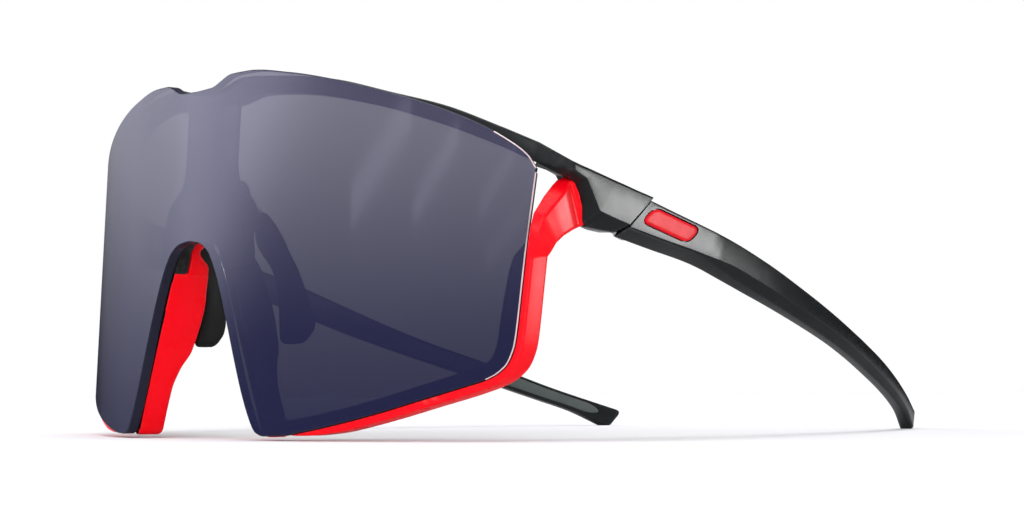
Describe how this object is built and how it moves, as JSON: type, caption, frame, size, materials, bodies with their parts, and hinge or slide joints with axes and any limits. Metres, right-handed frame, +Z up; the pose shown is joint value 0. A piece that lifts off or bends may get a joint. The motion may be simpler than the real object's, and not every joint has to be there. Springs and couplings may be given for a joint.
{
  "type": "wraparound sport sunglasses",
  "caption": "Sport shield sunglasses with one curved tinted lens, a brow frame, red lower rims, an adjustable nosepiece and folding temples.",
  "frame": {"origin": "on the surface the glasses stand on, under the middle of their bounding box", "axes": "+Z up, +Y towards the temple tips so the wearer looks along -Y, +X towards the wearer's left"},
  "size_m": [0.1434, 0.1568, 0.0661],
  "materials": {
    "lens_tint": "tinted see-through polycarbonate",
    "frame_black": "satin moulded nylon",
    "rim_red": "semi-gloss moulded nylon",
    "inlay_red": "glossy",
    "soft_rubber": "matt soft grip",
    "steel": "satin",
    "nylon": "plain"
  },
  "bodies": {
    "front": {"lens": "lens_tint", "brow_frame": "frame_black", "nose_carrier": "frame_black", "lower_rim_left": "rim_red", "lower_rim_right": "rim_red", "hinge_frame_leaf_left": "steel", "hinge_frame_leaf_right": "steel", "hinge_screw_left": "steel", "hinge_screw_right": "steel", "hinge_washer_upper_left": "nylon", "hinge_washer_upper_right": "nylon", "hinge_washer_lower_left": "nylon", "hinge_washer_lower_right": "nylon"},
    "temple_left_arm": {"temple_left": "frame_black", "temple_grip_left": "soft_rubber", "temple_inlay_left": "inlay_red", "hinge_temple_leaf_left": "steel"},
    "temple_right_arm": {"temple_right": "frame_black", "temple_grip_right": "soft_rubber", "temple_inlay_right": "inlay_red", "hinge_temple_leaf_right": "steel"},
    "nose_left": {"nose_pad_left": "soft_rubber", "nose_wire_left": "steel"},
    "nose_right": {"nose_pad_right": "soft_rubber", "nose_wire_right": "steel"}
  },
  "joints": [
    {"name": "temple_left_fold", "type": "hinge", "parent": "front", "child": "temple_left_arm", "pos_m": [0.0654, -0.03099, 0.0379], "axis": [0, 0.309, 0.9511], "range_deg": [0, 90]},
    {"name": "temple_right_fold", "type": "hinge", "parent": "front", "child": "temple_right_arm", "pos_m": [-0.0654, -0.03099, 0.0379], "axis": [0, -0.309, -0.9511], "range_deg": [0, 75]},
    {"name": "nose_left_bend", "type": "hinge", "parent": "front", "child": "nose_left", "pos_m": [0.0062, -0.06919, 0.0433], "axis": [0, 1, 0], "range_deg": [-7, 7]},
    {"name": "nose_right_bend", "type": "hinge", "parent": "front", "child": "nose_right", "pos_m": [-0.0062, -0.06919, 0.0433], "axis": [0, -1, 0], "range_deg": [-7, 7]}
  ]
}
